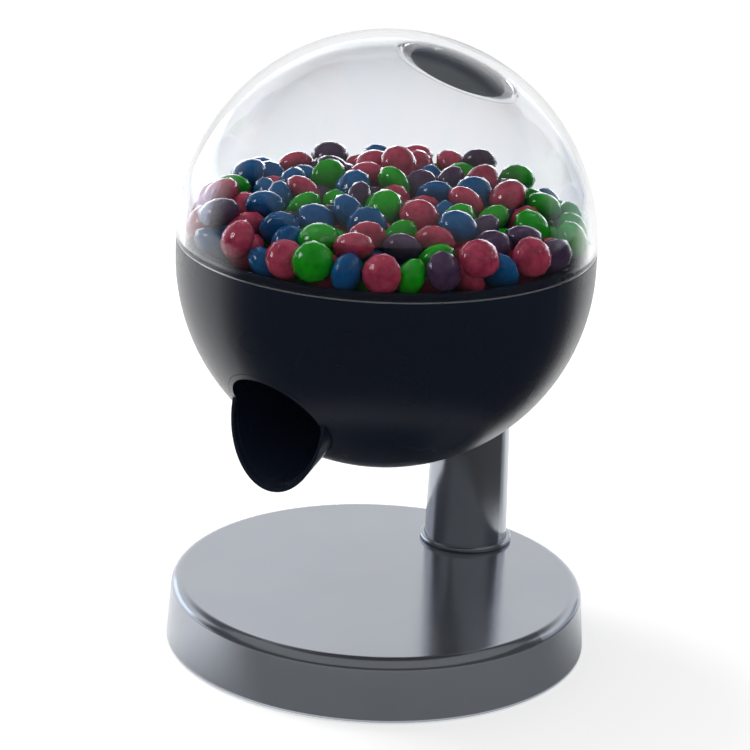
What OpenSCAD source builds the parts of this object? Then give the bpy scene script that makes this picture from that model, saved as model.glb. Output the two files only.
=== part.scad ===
// Table-top globe candy dispenser: a clear dome over a black bowl, carried by a column
// on a round battery base. A motor turns a pocketed rotor, and candies slide down the chute.
// Front is -Y, up is +Z, and the origin is the centre of the base on the table.

/* [Globe] */
// Outer diameter of the dome and of the bowl
globe_d = 140; // [136:1:150]
// Height of the seam between bowl and dome above the table
seam_h = 143.7; // [140:0.1:156]
// Wall of the clear dome
dome_wall = 3; // [2:0.25:3.5]
// Wall of the bowl
bowl_wall = 3; // [2.4:0.2:3.4]
// Straight band of the bowl below the seam
bowl_band = 5.9; // [4:0.1:8]

/* [Fill lid] */
// Lean of the fill hole from straight up, towards the back
lid_tilt = 34; // [28:1:40]
// Diameter of the lid's flat top
lid_d = 40.8; // [36:0.2:44]
// Thickness of the lid's flange
lid_flange = 1.6; // [1.4:0.1:2.4]
// Width of the seat that carries the flange
lid_seat = 3.2; // [2.6:0.1:4]
// Depth of the lid's skirt below its flange
lid_skirt = 3; // [2.6:0.2:5]
// Wall of the lid's skirt and finger cup
lid_wall = 1.6; // [1.2:0.1:2]
// Depth of the finger cup in the lid's top
cup_depth = 3; // [2.4:0.2:5]
// Width of the grip bar across the finger cup
grip_w = 4; // [3:0.5:5]
// Thickness of the silicone seal under the flange
seal_t = 0.4; // [0.3:0.1:0.8]
// Depth of the dome's neck under the seal
neck_t = 1.8; // [1.6:0.1:2.8]

/* [Chute] */
// Inner diameter of the chute
chute_d = 35.6; // [32:0.2:37]
// Wall of the chute
chute_wall = 1.8; // [1.4:0.1:2.2]
// Slope of the chute below level
chute_slope = 29.4; // [28:0.1:32]
// Distance of the chute's axis below the centre of the bowl's sphere
chute_below = 10.85; // [9:0.05:12]
// Distance of the chute's rim behind the front of the globe
rim_inset = 23.4; // [21:0.1:26]
// Lean of the chute's rim plane
rim_lean = 8.8; // [5:0.1:12]
// Depth of the stepped lip inside the chute's rim
lip_depth = 1.2; // [0.8:0.1:2]
// Width of the stepped lip inside the chute's rim
lip_w = 0.6; // [0.4:0.1:0.8]

/* [Hopper and rotor] */
// Height of the underside of the hopper floor below the seam
floor_drop = 21.3; // [20:0.1:22]
// Thickness of the hopper floor
floor_t = 2.4; // [2.2:0.1:3]
// Wall of the hopper
hopper_wall = 2; // [1.6:0.1:2.4]
// Height that the hopper's collar stands above the seam
collar_up = 2.4; // [1.6:0.2:5]
// Depth that the collar reaches below the seam
collar_down = 8; // [6.5:0.5:10]
// Height of the upright lip above the funnel
collar_lip = 1.2; // [0.8:0.2:3]
// Diameter of the rotor
rotor_d = 84; // [80:1:88]
// Thickness of the rotor
rotor_t = 8; // [7:0.5:9]
// Number of pockets in the rotor
pockets = 6; // [5:1:6]
// Diameter of a pocket
pocket_d = 18; // [16:0.5:19]
// Radius of the circle that the pockets lie on
pocket_r = 29; // [28:0.5:31]
// Diameter of the drop hole in the hopper floor
drop_d = 18.6; // [17:0.2:19.4]
// Diameter of the rotor's shaft
shaft_d = 5; // [4:0.5:6]
// Diameter of the cap that holds the rotor down
cap_d = 26; // [20:1:30]
// Height of the cap above the rotor
cap_h = 4.6; // [3:0.2:6]

/* [Gear train] */
// Module of the gears
gear_mod = 0.8; // [0.7:0.05:0.8]
// Pressure angle of the gears
gear_press = 25; // [22.5:0.5:26]
// Play between meshing teeth along the pitch circle
gear_play = 0.16; // [0.1:0.02:0.24]
// Teeth of the gear on the rotor's shaft
rotor_teeth = 32; // [32:4:32]
// Teeth of the small idler wheel
idler_small_teeth = 12; // [12:2:12]
// Teeth of the large idler wheel
idler_large_teeth = 34; // [34:2:34]
// Teeth of the motor's pinion
pinion_teeth = 10; // [10:2:10]
// Face width of the gears
gear_w = 4; // [3:0.25:4.5]
// Diameter of the idler's fixed axle
axle_d = 3; // [2:0.25:3.5]
// Wall of the gear case
case_wall = 1.6; // [1.2:0.1:2]
// Diameter of the motor
motor_d = 20; // [18:0.5:22]
// Length of the motor's can
motor_l = 20; // [16:0.5:24]
// Diameter of the motor's shaft
motor_shaft_d = 2; // [1.5:0.25:2.5]

/* [Column] */
// Diameter of the column at its foot
column_foot_d = 29.4; // [28:0.2:31]
// Diameter of the column where it would reach the seam
column_top_d = 23.6; // [23:0.2:26]
// Diameter of the column's bore
column_bore_d = 20.4; // [18:0.2:20.8]
// Distance of the column's axis in front of the rear of the base
column_inset = 21.7; // [21:0.1:23.4]
// Distance of the column's axis behind the globe's axis
column_out = 53.1; // [51:0.1:54]
// Thickness of the bead around the column's foot
bead_t = 2; // [1.4:0.1:3]
// Width that the bead stands out around the foot
bead_w = 1.6; // [1.2:0.1:2.4]
// Length of the bowl's spigot inside the column
spigot_l = 14; // [11:0.5:18]

/* [Base] */
// Diameter of the base at its lower edge
base_d = 144.8; // [144:0.2:150]
// Amount by which the base narrows from its lower edge to its top
base_draft = 3.4; // [0:0.2:6]
// Height of the base above the table
base_h = 22; // [22:0.2:30]
// Radius of the base's top edge
base_round = 3.8; // [3:0.1:5]
// Wall of the base shell
base_wall = 2.2; // [1.8:0.1:2.4]
// Height that the feet lift the base shell
foot_lift = 0.8; // [0.5:0.1:1.5]
// Thickness of the bottom cover
cover_t = 3; // [2.8:0.1:3.4]
// Diameter of a rubber foot
foot_d = 11; // [8:0.5:13]
// Radius of the circle that the feet lie on
foot_r = 57; // [54:0.5:59]

/* [Batteries] */
// Diameter of a cell
cell_d = 14.5; // [13.5:0.1:14.5]
// Length of a cell with its button
cell_l = 50.5; // [44:0.5:51]
// Room at each end of a cell for its contact
contact_room = 2.6; // [2.2:0.1:3]
// Wall of the battery box
box_wall = 1.4; // [1:0.1:1.6]
// Thickness of the battery door
door_t = 2; // [1.8:0.1:2]

/* [Candies] */
// Diameter of a candy
candy_d = 13.5; // [12:0.5:15]
// Thickness of a candy
candy_t = 9; // [8:0.5:9.5]
// Radius of a candy's rounded edge
candy_edge = 3.2; // [3:0.1:3.4]
// Layers of candies
candy_layers = 4; // [1:1:5]

/* [Hidden] */
$fn = 96;

// clearances
slip = 0.15;          // between parts that are put together by hand
lay = 0.3;            // between things that only lie against each other
run = 0.05;           // radial play of a turning shaft
press = 0.02;         // radial play of a pressed joint
far = 400;            // longer than anything here

// colours
c_metal = [0.72, 0.74, 0.77];
c_dark_metal = [0.45, 0.46, 0.48];
c_black = [0.06, 0.07, 0.09];
c_clear = [0.86, 0.89, 0.93, 0.35];
c_brass = [0.78, 0.62, 0.3];
c_board = [0.08, 0.32, 0.16];
c_ivory = [0.88, 0.86, 0.8];
c_cell = [0.2, 0.3, 0.24];

// places along Y
column_back = base_d / 2 - column_inset;
globe_fwd = column_out - column_back;

// globe
globe_r = globe_d / 2;
bowl_z = seam_h - bowl_band;
bowl_in = globe_r - bowl_wall;
dome_in = globe_r - dome_wall;

// chute, in its own axes: along the slope, and across it upwards
chute_ri = chute_d / 2;
chute_ro = chute_ri + chute_wall;
floor_z = seam_h - floor_drop;
floor_top = floor_z + floor_t;
chute_back = pocket_r - drop_d / 2 - chute_wall;
rim_at = globe_r - rim_inset;
ear_at = chute_ro + 0.6;
ear_r = 3.4;
ear_t = 2.4;
sensor_at = 56;
sensor_post_at = 7;
sensor_stand = 2.4;
sensor_board_t = 1.2;
window_r = 3;

// hopper and rotor
rotor_r = rotor_d / 2;
rotor_z = floor_top + lay;
rotor_top = rotor_z + rotor_t;
well_r = rotor_r + 0.5;
well_out = well_r + hopper_wall;
well_top = rotor_top + lay;
collar_out = min(dome_in, bowl_in) - 0.2;
collar_in = collar_out - hopper_wall;
collar_top = seam_h + collar_up;
collar_z = seam_h - collar_down;
funnel_top = collar_top - collar_lip;
funnel_slope = (funnel_top - well_top) / (collar_in - well_r);
funnel_drop = hopper_wall * sqrt(1 + funnel_slope * funnel_slope);
ledge_t = 2;
ledge_w = 4.5;
pad_r = 4.6;
pad_at = collar_in - pad_r - 0.2;
pad_head_r = 3;
pad_seat = well_top + (pad_at - pad_head_r - well_r) * funnel_slope - 1.8;
pad_z = max(pad_seat - 3.6, collar_z);
pad_angles = [30, 150, 210, 330];
boss_r = 4;

// gear train
rotor_gear_r = pitch_r(rotor_teeth);
idler_large_r = pitch_r(idler_large_teeth);
idler_at = [0, rotor_gear_r + pitch_r(idler_small_teeth)];
motor_at = [idler_large_r + pitch_r(pinion_teeth), idler_at[1]];
tip = 0.8 * gear_mod;
bush_r = shaft_d / 2 + 2;
bush_flange = 1;
rotor_gear_z = floor_z - bush_flange - 0.2 - gear_w;
idler_large_z = rotor_gear_z - 0.8 - gear_w;
case_gap = 0.8;
case_floor = 2;
case_z = idler_large_z - 0.5 - case_floor;
case_rotor_r = rotor_gear_r + tip + case_gap + case_wall;
case_idler_r = idler_large_r + tip + case_gap + case_wall;
case_motor_r = motor_d / 2 + 1;
lug_r = 3;
lug_out = lug_r - 0.8;
lugs = [[-case_rotor_r - lug_out, 0],
        [idler_at[0] - (case_idler_r + lug_out) * cos(60), idler_at[1] + (case_idler_r + lug_out) * sin(60)],
        [motor_at[0] + (case_motor_r + lug_out) * cos(20), motor_at[1] - (case_motor_r + lug_out) * sin(20)]];
motor_boss_r = 3;
motor_boss_h = 1.6;
motor_screw_at = 6.5;
motor_z = case_z - motor_l;

// column
column_slope = (column_foot_d - column_top_d) / 2 / (seam_h - base_h);
column_low = bowl_z - sqrt(globe_r * globe_r - pow(column_out - column_foot_d / 2, 2));
spigot_r = column_bore_d / 2 - 0.1;
spigot_wall = 2.6;
spigot_z = column_low - spigot_l;
column_screw_z = spigot_z + 6;
column_seat = column_foot_d / 2 - (column_screw_z - base_h) * column_slope - 1.9;
stub_r = column_foot_d / 2 - 2.3;
stub_hole = stub_r + 0.1;
nut_t = 5;
washer_t = 0.8;
nut_flat = stub_r * 2 + 5.2;

// base
base_r = base_d / 2;
base_lean = atan(base_draft / 2 / base_h);
edge_x = base_r - base_round / cos(base_lean) - (base_h - base_round) * tan(base_lean);
edge_z = base_h - base_round;
inner_round = base_round - base_wall;
ceiling_z = base_h - base_wall;
cover_z = foot_lift;
cover_top = cover_z + cover_t;
cover_r = base_r - base_wall / cos(base_lean) - cover_top * tan(base_lean) - slip;
post_at = base_r - base_wall - 8.4;
post_r = 3.6;
post_angles = [20, 160, 200, 340];
foot_recess = 0.8;

// battery box, lying along Y in the middle of the base
cells = 4;
box_x = cells * cell_d / 2 + lay;
box_l = cell_l + 2 * contact_room;
box_y = -6;
box_front = box_y - box_l / 2;
box_rear = box_y + box_l / 2;
door_seat = 2;
door_x = box_x + door_seat;
door_z = cover_z + 0.2;
door_top = door_z + door_t;
hinge_r = door_t / 2;
hinge_y = box_rear + hinge_r;
hinge_z = door_z + hinge_r;
hinge_pin_r = 0.7;
hinge_pin_l = 3;
door_front = box_front - door_seat;
cell_z = door_top + lay + cell_d / 2;
box_top = cell_z + cell_d / 2 + 0.2;

// power switch in the rear of the base wall, and its travel along the wall
switch_angle = 38;
switch_z = 10.5;
knob_w = 4;
knob_travel = 3;
knob_play = 1;
switch_w = knob_w + knob_travel + 2 * knob_play;
switch_h = 4.6;
wall_at_switch = base_r - switch_z * tan(base_lean);

// control board beside the column
board = [26, 17, 1.6];
board_at = [21, column_back - 22.2];
board_z = cover_top + 4;
board_posts = [[3, 3], [23, 14]];
plug = [1.4, 11.4, board[2]];
plug_size = [6, 4.6, 3.4];

// wiring lead: from the board's plug, up the column, to the motor's underside
lead_r = 1.5;
lead_from = [board_at[0] + plug[0], board_at[1] + plug[1] + plug_size[1] / 2,
             board_z + plug[2] + lead_r + 0.1];
lead_to = [motor_at[0], motor_at[1] - globe_fwd, motor_z];
lead_route = concat(
    [for (p = [[-0.2, 0, 0], [-2.4, 0, 0], [-5.9, 1.6, 0]]) lead_from + p],
    [for (p = [[11, -3.9, -0.4], [5.4, -1.3, 0.6], [1.4, -0.2, 4.6]])
        [p[0], column_back + p[1], lead_from[2] + p[2]]],
    [for (i = [0:5]) [0, column_back, base_h + (motor_z - 10 - base_h) * i / 5]],
    [for (p = [[0, -0.4, 1], [1, -3.2, 8], [4.5, -9.2, 8.6]])
        [p[0], column_back + p[1], motor_z + p[2]]],
    [for (p = [[-8, 17.8, 2], [-4, 9.8, -4.4], [-1.4, 4.2, -6.6], [-0.2, 0.8, -4.4], [0, 0, -0.3]])
        lead_to + p]);
lead_sides = 8;
lead_steps = 4;

// fill lid, in its own axes: +Z along the tilted axis, origin at the dome's centre
lid_r = lid_d / 2;
lid_top = sqrt(globe_r * globe_r - lid_r * lid_r);
lid_low = lid_top - lid_flange;
hole_r = lid_r - lid_seat;
neck_r = lid_r + 2.2;
neck_z = lid_low - seal_t - neck_t;
skirt_r = hole_r - lay;
cup_r = skirt_r - lid_wall - 1.6;

// candies
candy_r = candy_d / 2;
candy_half = candy_t / 2 - candy_edge;
cap_off = (pow(candy_r - candy_edge, 2) - pow(candy_half, 2)) / (2 * candy_half);
cap_r = cap_off + candy_t / 2;
cap_x = (candy_r - candy_edge) * cap_r / (cap_r - candy_edge);
candy_pitch = candy_d + lay;
candy_rows = ceil(globe_r / candy_pitch);
candy_step = sqrt(pow(2 * cap_r + lay, 2) - candy_pitch * candy_pitch / 3) - 2 * cap_off;
candy_z0 = rotor_top + lay + candy_t / 2;
screw_r = 1.45;

module globe_axis() { translate([0, -globe_fwd, 0]) children(); }
module ring(r_in, r_out, h) {
    difference() {
        cylinder(r = r_out, h = h);
        translate([0, 0, -1]) cylinder(r = r_in, h = h + 2);
    }
}

// cross-head screw hanging from its seat at z = 0
module screw(length, r = screw_r, head_r = 2.8, head_h = 1.7) {
    difference() {
        union() {
            translate([0, 0, -length]) cylinder(r = r, h = length + 0.2);
            cylinder(r = head_r, h = head_h);
        }
        for (a = [0, 90]) rotate([0, 0, a]) translate([-head_r * 0.6, -0.3, head_h - 0.7])
            cube([head_r * 1.2, 0.6, 1]);
    }
}

// involute spur wheel, first tooth along +X turned by phase
function involute(a) = tan(a) * 180 / PI - a;
function pitch_r(teeth) = teeth * gear_mod / 2;
function half_tooth(r, teeth) = 90 / teeth + involute(gear_press)
    - involute(acos(min(1, pitch_r(teeth) * cos(gear_press) / r)))
    - gear_play / 4 / pitch_r(teeth) * 180 / PI;
function polar(r, a) = [r * cos(a), r * sin(a)];
module spur(teeth, w, bore_r, phase = 0) {
    root = pitch_r(teeth) - gear_mod;
    low = max(root + 0.05, pitch_r(teeth) * cos(gear_press));
    radii = [for (i = [0:5]) low + (pitch_r(teeth) + tip - low) * i / 5];
    outline = [for (t = [0:teeth - 1]) each concat(
        [polar(root, phase + 360 * t / teeth - half_tooth(low, teeth))],
        [for (r = radii) polar(r, phase + 360 * t / teeth - half_tooth(r, teeth))],
        [for (i = [5:-1:0]) polar(radii[i], phase + 360 * t / teeth + half_tooth(radii[i], teeth))],
        [polar(root, phase + 360 * t / teeth + half_tooth(low, teeth))])];
    difference() {
        linear_extrude(w) polygon(outline);
        translate([0, 0, -1]) cylinder(r = bore_r, h = w + 2);
    }
}

// ---- base ----
// points of an arc around a centre
function arc(centre, r, from, to, steps = 16) = [for (i = [0:steps])
    centre + r * [cos(from + (to - from) * i / steps), sin(from + (to - from) * i / steps)]];
module base_profile(inset, low, round_r) {
    polygon(concat([[0, low], [base_r - inset / cos(base_lean) - low * tan(base_lean), low]],
        arc([edge_x, edge_z], round_r, base_lean, 90), [[0, edge_z + round_r]]));
}
module at_switch() {
    rotate([0, 0, switch_angle]) translate([0, wall_at_switch, switch_z])
        rotate([base_lean, 0, 0]) children();
}
module at_posts() { for (a = post_angles) rotate([0, 0, a]) translate([post_at, 0, 0]) children(); }
module base_shell() color(c_metal) {
    difference() {
        rotate_extrude() base_profile(0, foot_lift, base_round);
        difference() {
            rotate_extrude() base_profile(base_wall, -1, inner_round);
            at_posts() translate([0, 0, cover_top]) cylinder(r = post_r, h = base_h);
        }
        at_posts() translate([0, 0, -1]) cylinder(r = screw_r + run, h = ceiling_z);
        translate([0, column_back, 0]) cylinder(r = stub_hole, h = base_h + 1);
        at_switch() cube([switch_w, 12, switch_h], center = true);
    }
}
module at_feet() { for (a = [45:90:315]) rotate([0, 0, a]) translate([foot_r, 0, 0]) children(); }
module bottom_cover() color(c_black) {
    difference() {
        union() {
            translate([0, 0, cover_z]) cylinder(r = cover_r, h = cover_t);
            translate([-box_x - box_wall, box_front - box_wall, cover_z])
                cube([2 * (box_x + box_wall), box_l + 2 * box_wall, box_top + box_wall - cover_z]);
            for (p = board_posts) translate([board_at[0] + p[0], board_at[1] + p[1], cover_z])
                cylinder(r = 2.4, h = board_z - cover_z);
        }
        translate([-box_x, box_front, -1]) cube([2 * box_x, box_l, box_top + 1]);
        translate([-door_x - slip, door_front - slip, -1])
            cube([2 * (door_x + slip), hinge_y + hinge_r + 2 * slip - door_front, door_top + 0.1 + 1]);
        translate([0, hinge_y, hinge_z]) rotate([0, 90, 0])
            cylinder(r = hinge_pin_r + run, h = 2 * (door_x + slip + hinge_pin_l), center = true);
        translate([0, door_front - 1, cover_z - 1]) cylinder(r = 7, h = 2);
        at_feet() translate([0, 0, cover_z - 1]) cylinder(r = foot_d / 2 + slip, h = 1 + foot_recess);
        at_posts() {
            cylinder(r = screw_r + 0.2, h = base_h);
            translate([0, 0, -1]) cylinder(r = 3.1, h = cover_z + 2.9);
        }
        for (p = board_posts) translate([board_at[0] + p[0], board_at[1] + p[1], cover_top])
            cylinder(r = 1 + run, h = base_h);
    }
}
module rubber_feet() color([0.1, 0.1, 0.1]) at_feet() cylinder(r = foot_d / 2, h = foot_lift + foot_recess);
module cover_screws() color(c_dark_metal) at_posts()
    translate([0, 0, cover_z + 1.9]) rotate([180, 0, 0]) screw(9);
module battery_door() color(c_black) {
    difference() {
        union() {
            translate([-door_x, door_front, door_z]) cube([2 * door_x, hinge_y - door_front, door_t]);
            translate([0, hinge_y, hinge_z]) rotate([0, 90, 0]) {
                cylinder(r = hinge_r, h = 2 * door_x, center = true);
                cylinder(r = hinge_pin_r, h = 2 * (door_x + hinge_pin_l - 0.4), center = true);
            }
        }
        for (i = [-3:3]) translate([-9, door_front + 8 + i * 1.6, door_z - 1]) cube([18, 0.7, 1.4]);
    }
}
module battery_cells() for (i = [0:cells - 1]) {
    turn = i % 2 == 0 ? 1 : -1;
    translate([(i - (cells - 1) / 2) * cell_d, box_y, cell_z]) rotate([-90 * turn, 0, 0]) color(c_cell) {
        translate([0, 0, -cell_l / 2]) cylinder(r = cell_d / 2 - 0.05, h = cell_l - 1.2);
        translate([0, 0, cell_l / 2 - 1.3]) cylinder(r = 2.7, h = 1.3);
    }
}
module battery_contacts() color(c_metal) for (i = [0:cells - 1]) for (end = [-1, 1])
    translate([(i - (cells - 1) / 2) * cell_d, box_y + end * (box_l / 2 - 0.25), cell_z]) {
        cube([9, 0.5, 10], center = true);
        rotate([90 * end, 0, 0]) cylinder(r1 = 3.4, r2 = 2.2, h = contact_room - 0.25 - 0.02);
    }
module power_switch() color(c_black) at_switch() difference() {
    translate([-switch_w / 2 - 2, -base_wall - 6.2, -switch_h / 2 - 1.2])
        cube([switch_w + 4, 5, switch_h + 2.4]);
    translate([-switch_w / 2 + 0.6, -base_wall - 4.2, -switch_h / 2 + 0.6])
        cube([switch_w - 1.2, 6, switch_h - 1.2]);
}
module switch_knob() color(c_metal) at_switch() translate([switch_w / 2 - knob_w - knob_play, 0, 0]) {
    translate([0, -base_wall - 4, -switch_h / 2 + 0.8]) cube([knob_w, base_wall + 3.6, switch_h - 1.6]);
    for (i = [0:2]) translate([0.5 + i * 1.2, -0.6, -switch_h / 2 + 0.8]) cube([0.6, 0.6, switch_h - 1.6]);
}
module control_board() translate([board_at[0], board_at[1], board_z]) color(c_board) difference() {
    union() {
        cube(board);
        translate([9, 4, board[2]]) cube([8, 8, 1.6]);
        translate([19.5, 5.5, board[2]]) cylinder(r = 2.5, h = 5.4);
        translate(plug) cube(plug_size);
        translate([9, 1, board[2]]) cube([9, 1.6, 1]);
    }
    for (p = board_posts) translate([p[0], p[1], -1]) cylinder(r = 1.2, h = 4);
}
module board_screws() color(c_dark_metal) for (p = board_posts)
    translate([board_at[0] + p[0], board_at[1] + p[1], board_z + board[2]]) screw(5, 1, 2, 1.2);

// ---- column ----
module column_tube() color(c_metal) translate([0, column_back, 0]) difference() {
    union() {
        translate([0, 0, base_h]) cylinder(d1 = column_foot_d, d2 = column_top_d, h = seam_h - base_h);
        translate([0, 0, ceiling_z - washer_t - nut_t - 1])
            cylinder(r = stub_r, h = base_wall + washer_t + nut_t + 1.5);
    }
    cylinder(d = column_bore_d, h = far);
    translate([0, -column_out, bowl_z]) sphere(r = globe_r + 0.05, $fn = 192);
    translate([0, -column_out, bowl_z]) cylinder(r = globe_r + 0.05, h = far);
    translate([0, 0, column_screw_z]) rotate([-90, 0, 0]) {
        cylinder(r = screw_r + 0.1, h = far);
        translate([0, 0, column_seat]) cylinder(r = 3, h = 10);
    }
}
module column_bead() color(c_metal) translate([0, column_back, base_h]) rotate_extrude() intersection() {
    union() {
        square([column_foot_d / 2 + run + bead_w - bead_t / 2, bead_t]);
        translate([column_foot_d / 2 + run + bead_w - bead_t / 2, bead_t / 2]) circle(r = bead_t / 2);
    }
    translate([column_foot_d / 2 + run, 0]) square([bead_w, bead_t]);
}
module column_washer() color(c_dark_metal) translate([0, column_back, ceiling_z - washer_t])
    ring(stub_hole, nut_flat / 2 + 0.6, washer_t);
module column_nut() color(c_dark_metal) translate([0, column_back, ceiling_z - washer_t - nut_t])
    difference() {
        cylinder(d = nut_flat / cos(30), h = nut_t, $fn = 6);
        translate([0, 0, -1]) cylinder(r = stub_r + press, h = nut_t + 2);
    }
module column_screw() color(c_dark_metal)
    translate([0, column_back + column_seat, column_screw_z]) rotate([-90, 0, 0])
        screw(column_foot_d / 2 - column_bore_d / 2 + 1.2, screw_r, 2.6, 1.4);

// smooth curve through the lead's points, swept as a tube
function spline(p, i, t) =
    let (a = p[max(0, i - 1)], b = p[i], c = p[i + 1], d = p[min(len(p) - 1, i + 2)])
    0.5 * (2 * b + (c - a) * t + (2 * a - 5 * b + 4 * c - d) * t * t + (3 * b - a - 3 * c + d) * t * t * t);
function unit(v) = v / norm(v);
module tube_along(points, r, sides) {
    count = len(points);
    rings = [for (i = [0:count - 1]) let (
        along = unit(points[min(count - 1, i + 1)] - points[max(0, i - 1)]),
        side = unit(cross(along, [0.1, 0.8, 0.6])), up = cross(along, side))
        [for (a = [0:360 / sides:359]) points[i] + r * (side * cos(a) + up * sin(a))]];
    polyhedron(
        points = [for (one = rings) each one],
        faces = concat([[for (k = [0:sides - 1]) k]],
            [[for (k = [sides - 1:-1:0]) (count - 1) * sides + k]],
            [for (i = [0:count - 2]) for (k = [0:sides - 1]) let (n = (k + 1) % sides)
                [i * sides + k, (i + 1) * sides + k, (i + 1) * sides + n, i * sides + n]]));
}
module wiring_lead() color([0.12, 0.12, 0.13])
    tube_along([for (i = [0:len(lead_route) - 2]) for (s = [0:lead_steps - 1])
                    spline(lead_route, i, s / lead_steps),
                lead_route[len(lead_route) - 1]], lead_r, lead_sides);

// ---- bowl and chute ----
module chute_axis() {
    translate([0, 0, bowl_z]) rotate([chute_slope, 0, 0]) translate([0, 0, -chute_below])
        rotate([90, 0, 0]) children();
}
module in_front(y) { translate([-far, -2 * far - y, -far]) cube(2 * far); }
module at_pads(z) { for (a = pad_angles) rotate([0, 0, a]) translate([pad_at, 0, z]) children(); }
module at_ears(z) { for (s = [-1, 1]) translate([s * ear_at, -pocket_r, z]) children(); }
module at_sensor_posts(z) { for (s = [-1, 1]) translate([s * sensor_post_at, 0, z]) children(); }
module bowl() color(c_black) globe_axis() {
    difference() {
        union() {
            translate([0, 0, bowl_z]) sphere(r = globe_r, $fn = 192);
            translate([0, 0, bowl_z]) cylinder(r = globe_r, h = bowl_band);
            translate([0, column_out, spigot_z]) cylinder(r = spigot_r, h = bowl_z - spigot_z);
        }
        translate([0, 0, bowl_z]) sphere(r = bowl_in, $fn = 192);
        translate([0, 0, bowl_z]) cylinder(r = bowl_in, h = bowl_band + 1);
        translate([0, 0, seam_h]) cylinder(r = globe_r + 1, h = globe_r);
        intersection() {
            chute_axis() cylinder(r = chute_ro + slip, h = far);
            in_front(chute_back);
        }
        translate([0, column_out, spigot_z - 1]) cylinder(r = spigot_r - spigot_wall, h = bowl_z - spigot_z);
        translate([0, column_out, column_screw_z]) rotate([-90, 0, 0]) cylinder(r = screw_r + run, h = far);
    }
    translate([0, 0, collar_z - ledge_t]) ring(bowl_in - ledge_w, bowl_in + 0.5, ledge_t);
    difference() {
        intersection() {
            at_pads(bowl_z - globe_r) cylinder(r = boss_r, h = pad_z - bowl_z + globe_r);
            union() {
                translate([0, 0, bowl_z]) sphere(r = bowl_in + 0.5, $fn = 192);
                translate([0, 0, bowl_z]) cylinder(r = bowl_in + 0.5, h = bowl_band);
            }
        }
        at_pads(pad_z - 9) cylinder(r = screw_r + run, h = 10);
    }
}
module chute_shell() {
    difference() {
        union() {
            intersection() {
                chute_axis() cylinder(r = chute_ro, h = far);
                in_front(chute_back);
            }
            intersection() {
                union() {
                    at_ears(floor_z - ear_t) cylinder(r = ear_r, h = ear_t);
                    translate([-ear_at, -pocket_r - ear_r, floor_z - ear_t])
                        cube([2 * ear_at, 2 * ear_r, ear_t]);
                }
                translate([0, 0, floor_z - ear_t]) cylinder(r = globe_r, h = ear_t);
            }
            sensor_axis() at_sensor_posts(chute_ro - 1) cylinder(r = 1.8, h = sensor_stand + 1);
        }
        intersection() {
            chute_axis() cylinder(r = chute_ri, h = far);
            in_front(chute_back + chute_wall);
        }
        translate([-far / 2, -far / 2, floor_z]) cube(far);
        difference() {
            translate([0, 0, bowl_z]) rotate([-rim_lean, 0, 0]) in_front(rim_at);
            translate([0, 0, bowl_z]) sphere(r = globe_r, $fn = 192);
        }
        difference() {
            intersection() {
                chute_axis() cylinder(r = chute_ri + lip_w, h = far);
                translate([0, 0, bowl_z]) rotate([-rim_lean, 0, 0]) in_front(rim_at - lip_depth);
            }
            translate([0, 0, bowl_z]) sphere(r = globe_r + 0.6, $fn = 192);
        }
        sensor_axis() cylinder(r = window_r + run, h = far);
        sensor_axis() at_sensor_posts(chute_ro + 0.4) cylinder(r = 0.9 + run, h = far);
        at_ears(floor_z - ear_t - 1) cylinder(r = 1.4, h = ear_t + 2);
    }
}
// axes of the sensor: origin on the chute's axis, +Z up through the chute's roof
module sensor_axis() {
    translate([0, 0, bowl_z]) rotate([chute_slope, 0, 0]) translate([0, -sensor_at, -chute_below]) children();
}
module chute() color(c_black) globe_axis() chute_shell();
module chute_screws() color(c_dark_metal) globe_axis()
    at_ears(floor_z - ear_t) rotate([180, 0, 0]) screw(ear_t + 1.6, 1.15, 2.2, 1.3);
module sensor_window() color([0.12, 0.03, 0.05]) globe_axis() sensor_axis() {
    translate([0, 0, chute_ri + 0.25]) cylinder(r = window_r, h = chute_wall + sensor_stand - 0.3);
}
module sensor_board() color(c_board) globe_axis() sensor_axis() difference() {
    translate([0, 0, chute_ro + sensor_stand]) {
        translate([-9, -4.5, 0]) cube([18, 9, sensor_board_t]);
        translate([-3.5, -3, sensor_board_t]) cube([7, 5, 1.4]);
    }
    at_sensor_posts(chute_ro + sensor_stand - 1) cylinder(r = 1.1, h = 4);
}
module sensor_screws() color(c_dark_metal) globe_axis() sensor_axis()
    at_sensor_posts(chute_ro + sensor_stand + sensor_board_t) screw(2.9, 0.9, 1.7, 1);

// ---- hopper, rotor and gears ----
module hopper() color(c_black) globe_axis() difference() {
    union() {
        rotate_extrude() polygon([
            [0, floor_z], [well_out, floor_z],
            [well_out, well_top - funnel_drop + hopper_wall * funnel_slope],
            [collar_in, funnel_top - funnel_drop], [collar_in, collar_z], [collar_out, collar_z],
            [collar_out, collar_top], [collar_in, collar_top], [collar_in, funnel_top],
            [well_r, well_top], [well_r, floor_top], [0, floor_top]]);
        at_pads(pad_z) cylinder(r = pad_r, h = funnel_top - pad_z);
    }
    rotate_extrude() polygon([[0, well_top], [well_r, well_top], [collar_in, funnel_top],
        [collar_in, far], [0, far]]);
    at_pads(pad_z - 1) cylinder(r = screw_r + 0.2, h = far);
    at_pads(pad_seat) cylinder(r = pad_head_r, h = far);
    translate([0, -pocket_r, floor_z - 1]) cylinder(d = drop_d, h = floor_t + 2);
    translate([0, 0, floor_z - 1]) cylinder(r = bush_r + press, h = floor_t + 2);
    at_ears(floor_z - 1) cylinder(r = 1.2, h = 2.8);
    for (p = lugs) translate([p[0], p[1], floor_z - 1]) cylinder(r = 1.2, h = 2.8);
    translate([idler_at[0], idler_at[1], floor_z - 1]) cylinder(r = axle_d / 2 + press, h = 2.6);
}
module hopper_screws() color(c_dark_metal) globe_axis() at_pads(pad_seat) screw(11, screw_r, 2.8, 1.6);
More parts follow.
